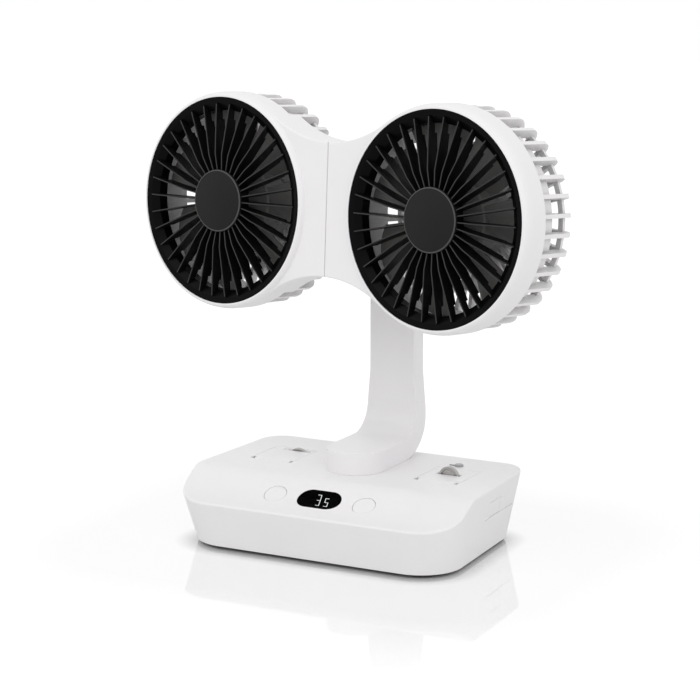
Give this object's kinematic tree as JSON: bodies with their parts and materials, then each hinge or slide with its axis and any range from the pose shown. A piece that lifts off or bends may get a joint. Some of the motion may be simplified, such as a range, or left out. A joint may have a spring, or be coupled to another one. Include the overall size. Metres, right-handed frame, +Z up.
{
  "type": "dual-head desk fan",
  "caption": "Desk fan with two round caged fan heads side by side on a swivel and tilt joint, a C-shaped stem, and a box base with buttons, a display and lidded wells.",
  "frame": {"origin": "on the table, at the underside of the middle foot, in the middle of the base's width", "axes": "+X to the fan's left seen from the front, that is to the right of a viewer facing its front; -Y is the front the fans blow towards; +Z up"},
  "size_m": [0.2848, 0.1236, 0.2615],
  "materials": {
    "white_plastic": "satin",
    "inner_plastic": "matte",
    "black_plastic": "satin",
    "cap_plastic": "fine matte",
    "blade_plastic": "satin",
    "display_cover": "gloss",
    "display_light": "lit white",
    "grey_plastic": "satin",
    "tab_metal": "turned",
    "steel": "zinc plated",
    "motor_can": "plain",
    "board": "satin",
    "switch_plastic": "matte",
    "cell_wrap": "satin wrap",
    "foot_rubber": "matte"
  },
  "bodies": {
    "base": {"base_shell": "white_plastic", "base_bottom_plate": "white_plastic", "rubber_feet": "foot_rubber", "base_screws": "steel", "display_window": "display_cover", "display_digits": "display_light", "control_board": "board", "button_switches": "switch_plastic", "battery_cells": "cell_wrap", "battery_holder": "inner_plastic", "main_board": "board", "charge_board": "board", "charging_socket": "steel", "board_screws": "steel", "left_hatch_well": "inner_plastic", "right_hatch_well": "inner_plastic", "hatch_pins": "steel", "catch_stud": "grey_plastic", "stem_shell": "white_plastic", "stem_back_cover": "white_plastic", "stem_core": "steel", "foot_screws": "steel", "swivel_bolt": "steel", "swivel_washer": "steel", "swivel_cap_nut": "steel"},
    "port_flap": {"port_flap": "white_plastic"},
    "left_button": {"left_button": "white_plastic"},
    "right_button": {"right_button": "white_plastic"},
    "left_lid": {"left_hatch_lid": "white_plastic"},
    "right_lid": {"right_hatch_lid": "white_plastic"},
    "left_tab": {"left_pull_tab": "tab_metal"},
    "right_tab": {"right_pull_tab": "tab_metal"},
    "swivel": {"swivel_hub": "white_plastic", "tilt_shaft": "steel", "tilt_washers": "steel"},
    "left_head": {"left_head_shell": "white_plastic", "left_bridge_cover": "white_plastic", "left_grille": "black_plastic", "left_center_cap": "cap_plastic", "left_motor": "motor_can", "left_rear_cage": "white_plastic", "left_rear_cap": "white_plastic", "left_head_screws": "steel"},
    "left_fan": {"left_impeller": "blade_plastic", "left_motor_shaft": "steel"},
    "right_head": {"right_head_shell": "white_plastic", "right_bridge_cover": "white_plastic", "right_grille": "black_plastic", "right_center_cap": "cap_plastic", "right_motor": "motor_can", "right_rear_cage": "white_plastic", "right_rear_cap": "white_plastic", "right_head_screws": "steel"},
    "right_fan": {"right_impeller": "blade_plastic", "right_motor_shaft": "steel"}
  },
  "joints": [
    {"name": "swivel_turn", "type": "hinge", "parent": "base", "child": "swivel", "pos_m": [0, 0.0281, 0.172], "axis": [0, 0, 1], "range_deg": [-22.6, 47.4]},
    {"name": "left_head_tilt", "type": "hinge", "parent": "swivel", "child": "left_head", "pos_m": [-0.00666, -0.00218, 0.1954], "axis": [-0.9763, 0.2147, -0.0262], "range_deg": [-16.5, 25.5]},
    {"name": "left_fan_spin", "type": "hinge", "parent": "left_head", "child": "left_fan", "pos_m": [-0.08691, 0.00118, 0.19443], "axis": [-0.2161, -0.9732, 0.0784], "continuous": true},
    {"name": "right_head_tilt", "type": "hinge", "parent": "swivel", "child": "right_head", "pos_m": [-0.00666, -0.00218, 0.1954], "axis": [-0.9763, 0.2147, -0.0262], "range_deg": [-16.5, 25.5]},
    {"name": "right_fan_spin", "type": "hinge", "parent": "right_head", "child": "right_fan", "pos_m": [0.06755, -0.03278, 0.19857], "axis": [-0.2161, -0.9732, 0.0784], "continuous": true},
    {"name": "left_button_press", "type": "slide", "parent": "base", "child": "left_button", "axis": [0, 0.4457, -0.8952], "range_m": [0, 0.0008], "stiffness_N_per_m": 300},
    {"name": "right_button_press", "type": "slide", "parent": "base", "child": "right_button", "axis": [0, 0.4457, -0.8952], "range_m": [0, 0.0008], "stiffness_N_per_m": 300},
    {"name": "left_lid_hinge", "type": "hinge", "parent": "base", "child": "left_lid", "pos_m": [-0.054, 0.0032, 0.0394], "axis": [1, 0, 0], "range_deg": [0, 90]},
    {"name": "left_tab_slide", "type": "slide", "parent": "left_lid", "child": "left_tab", "axis": [0, 0, 1], "range_m": [-0.0009, 0.0034]},
    {"name": "right_lid_hinge", "type": "hinge", "parent": "base", "child": "right_lid", "pos_m": [0.054, 0.0032, 0.0394], "axis": [1, 0, 0], "range_deg": [0, 90]},
    {"name": "right_tab_slide", "type": "slide", "parent": "right_lid", "child": "right_tab", "axis": [0, 0, 1], "range_m": [-0.0043, 0]},
    {"name": "port_flap_hinge", "type": "hinge", "parent": "base", "child": "port_flap", "pos_m": [0.08461, 0.01317, 0.02411], "axis": [-0.055, 0.9985, 0], "range_deg": [0, 80]}
  ]
}
